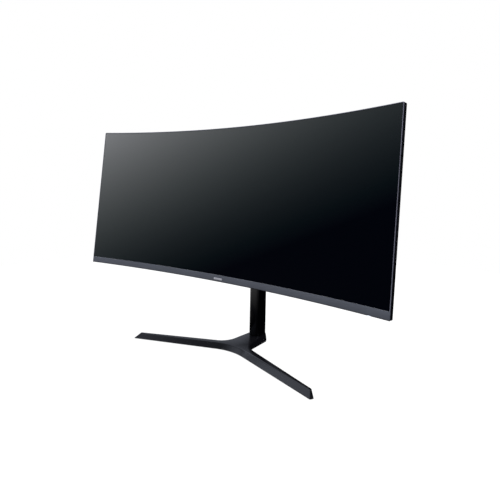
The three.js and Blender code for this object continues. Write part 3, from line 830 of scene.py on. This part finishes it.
def build_pads():
    """The rubber pads: round under the column, long at the front and along the legs."""
    rear = lathe("z", (0, 0), [(15.6, 0), (16, 0.3), (16, 0.9), (15.6, 1.2)], 48)
    stand_for(new_object("pad_rear", rear, "rubber"), "base", "rubber", "foot_pad_rear")
    front = plate("z", (-20, 20), (-107, -97), (0, 1.2), 3.0, soft=0.3)
    stand_for(new_object("pad_front", front, "rubber"), "base", "rubber", "foot_pad_front")
    for name, side in (("left", -1), ("right", 1)):
        turn = Matrix.Rotation(-side * math.atan(PAD_SLOPE), 3, "Z")

        def place(x, y, z):
            return upright(*(turn @ Vector((x, y, z)) + Vector((side * PAD_X, PAD_Y, 0))))

        pad = plate("z", (-18, 18), (-3.2, 3.2), (0, 1.2), 3.0, soft=0.3)
        stand_for(new_object(f"pad_{name}", pad, "rubber", place), "base", "rubber", f"foot_pad_{name}")


build_screen()
build_frame()
build_chin()
build_badge_and_lamp()
build_rear_cover()
build_tongues()
build_joystick()
build_tilt_bracket()
build_mount_screws()
build_neck()
build_column()
build_foot()
build_pads()


# ---- camera, floor and light -----------------------------------------------------------------
CAMERA_AT = Vector((573.94, -863.56, 399.16))
FRAME_PX = 500.0
SENSOR = 36.0


def build_camera():
    """The camera that was fitted to the photo's edges, in radians and in pixels of its frame."""
    yaw, pitch, roll = 0.5975, -0.0498, 0.0194
    focal_px, centre_px = 392.46, (255.55, 208.84)
    forward = Vector((-math.sin(yaw) * math.cos(pitch), math.cos(yaw) * math.cos(pitch),
                      math.sin(pitch)))
    level = Vector((math.cos(yaw), math.sin(yaw), 0.0))
    above = level.cross(forward)
    right = level * math.cos(roll) + above * math.sin(roll)
    up = above * math.cos(roll) - level * math.sin(roll)
    data = bpy.data.cameras.new("camera")
    camera = bpy.data.objects.new("camera", data)
    bpy.context.scene.collection.objects.link(camera)
    turn = Matrix((right, up, -forward)).transposed().to_4x4()
    camera.matrix_world = Matrix.Translation(CAMERA_AT * MM) @ turn
    data.sensor_width = SENSOR
    data.lens = focal_px * SENSOR / FRAME_PX
    data.shift_x = (FRAME_PX / 2 - centre_px[0]) / FRAME_PX
    data.shift_y = (centre_px[1] - FRAME_PX / 2) / FRAME_PX
    data.clip_start, data.clip_end = 0.01, 100.0
    bpy.context.scene.camera = camera


FLOOR_RADIUS = 1500.0
FLOOR_LEFT = 1.1  # brightness of the ground in reflections, far out to the left
FLOOR_FRONT = 0.44  # and far out to the front, added where both meet
FLOOR_SHADED = 0.06  # how much of the ground's brightness takes shadows


def build_floor():
    """White ground with faint shadows to look at; in reflections bright only to the left and front."""
    bm = bmesh.new()
    bmesh.ops.create_circle(bm, cap_ends=True, radius=FLOOR_RADIUS, segments=96)
    n = Nodes("floor_white")
    n.link(n.ramp(n.noise(180.0, 3.0), [(0.3, (0.86, 0.86, 0.86)), (0.7, (0.88, 0.88, 0.88))]),
           n.shader.inputs["Base Color"])
    n.set(Roughness=0.9, Specular_IOR_Level=0.1)
    axes = n.add("ShaderNodeSeparateXYZ")
    n.link(n.coords.outputs["Object"], axes.inputs["Vector"])
    to_front = n.spread(axes.outputs["Y"], FLOOR_FRONT, 0.0, -0.55, -0.1)
    to_left = n.spread(axes.outputs["X"], FLOOR_LEFT, 0.0, -0.5, -0.05)
    dim = n.add("ShaderNodeEmission")
    n.link(n.sum(to_front, to_left), dim.inputs["Strength"])
    bright = n.add("ShaderNodeEmission", Strength=1.0)
    seen = n.add("ShaderNodeMixShader")
    seen.inputs[0].default_value = FLOOR_SHADED
    n.link(bright.outputs["Emission"], seen.inputs[1])
    n.link(n.shader.outputs["BSDF"], seen.inputs[2])
    choice = n.add("ShaderNodeMixShader")
    n.link(n.add("ShaderNodeLightPath").outputs["Is Camera Ray"], choice.inputs[0])
    n.link(dim.outputs["Emission"], choice.inputs[1])
    n.link(seen.outputs["Shader"], choice.inputs[2])
    n.link(choice.outputs["Shader"], n.tree.nodes["Material Output"].inputs["Surface"])
    MATERIALS["floor"] = n.material
    new_object("floor", bm, "floor")


def area_light(name, place, aim, size, power):
    data = bpy.data.lights.new(name, "AREA")
    data.shape = "RECTANGLE"
    data.size, data.size_y = size
    data.energy = power
    light = bpy.data.objects.new(name, data)
    bpy.context.scene.collection.objects.link(light)
    light.location = place
    light.rotation_mode = "QUATERNION"
    light.rotation_quaternion = (Vector(aim) - Vector(place)).to_track_quat("-Z", "Y")
    light.visible_glossy = False  # reflections come from the world and the ground alone


ROOM_TINT = (0.93, 1.0, 1.18)  # the room is lit by a cool light


def build_world():
    """White to look at; the object reflects a dim room with soft bright patches round it."""
    world = bpy.data.worlds.new("studio")
    bpy.context.scene.world = world
    world.use_nodes = True
    tree = world.node_tree
    add, link = tree.nodes.new, tree.links.new
    axes = add("ShaderNodeSeparateXYZ")
    link(add("ShaderNodeTexCoord").outputs["Generated"], axes.inputs["Vector"])

    def spread(axis, start, stop, low, high):  # by the direction a ray leaves in
        node = add("ShaderNodeMapRange")
        node.interpolation_type = "SMOOTHSTEP"
        for key, number in (("From Min", start), ("From Max", stop), ("To Min", low), ("To Max", high)):
            node.inputs[key].default_value = number
        link(axes.outputs[axis], node.inputs["Value"])
        return node.outputs["Result"]

    def combine(first, second, operation):
        node = add("ShaderNodeMath")
        node.operation = operation
        link(first, node.inputs[0])
        link(second, node.inputs[1])
        return node.outputs["Value"]

    left = spread("X", -0.95, -0.76, 0.5, 0.0)
    upper_left = combine(spread("X", -0.75, -0.25, 1.15, 0.0),
                         spread("Z", 0.15, 0.45, 0.0, 1.0), "MULTIPLY")
    upper_left = combine(upper_left, spread("Y", 0.3, 0.65, 1.0, 0.0), "MULTIPLY")
    behind_left = combine(spread("X", -0.58, -0.42, 1.0, 0.0),
                          spread("Y", 0.2, 0.6, 0.0, 0.36), "MULTIPLY")
    above = spread("Z", 0.7, 1.0, 0.0, 0.35)
    right = combine(spread("X", 0.4, 0.75, 0.0, 1.0), spread("Y", -0.3, 0.1, 1.6, 0.0), "MULTIPLY")
    front = spread("Y", -1.0, -0.75, 0.15, 0.0)
    total = left
    for share in (upper_left, behind_left, above, right, front):
        total = combine(total, share, "ADD")

    room, white = tree.nodes["Background"], add("ShaderNodeBackground")
    tinted = add("ShaderNodeVectorMath")
    tinted.operation = "SCALE"
    tinted.inputs[0].default_value = ROOM_TINT
    link(total, tinted.inputs["Scale"])
    link(tinted.outputs["Vector"], room.inputs["Color"])
    white.inputs["Color"].default_value = (1, 1, 1, 1)
    choice = add("ShaderNodeMixShader")
    link(add("ShaderNodeLightPath").outputs["Is Camera Ray"], choice.inputs[0])
    link(room.outputs["Background"], choice.inputs[1])
    link(white.outputs["Background"], choice.inputs[2])
    link(choice.outputs["Shader"], tree.nodes["World Output"].inputs["Surface"])


bpy.context.scene.view_settings.view_transform = "Standard"
build_camera()
build_floor()
build_world()
area_light("overhead", (-0.2, 0.1, 2.6), (0, 0, 0), (3.2, 3.2), 260.0)
area_light("front_fill", (-0.6, -2.5, 1.2), (0, -0.15, 0.35), (2.0, 1.5), 34.0)
area_light("back_fill", (0.9, 2.4, 1.5), (0, 0, 0.35), (1.6, 1.6), 110.0)
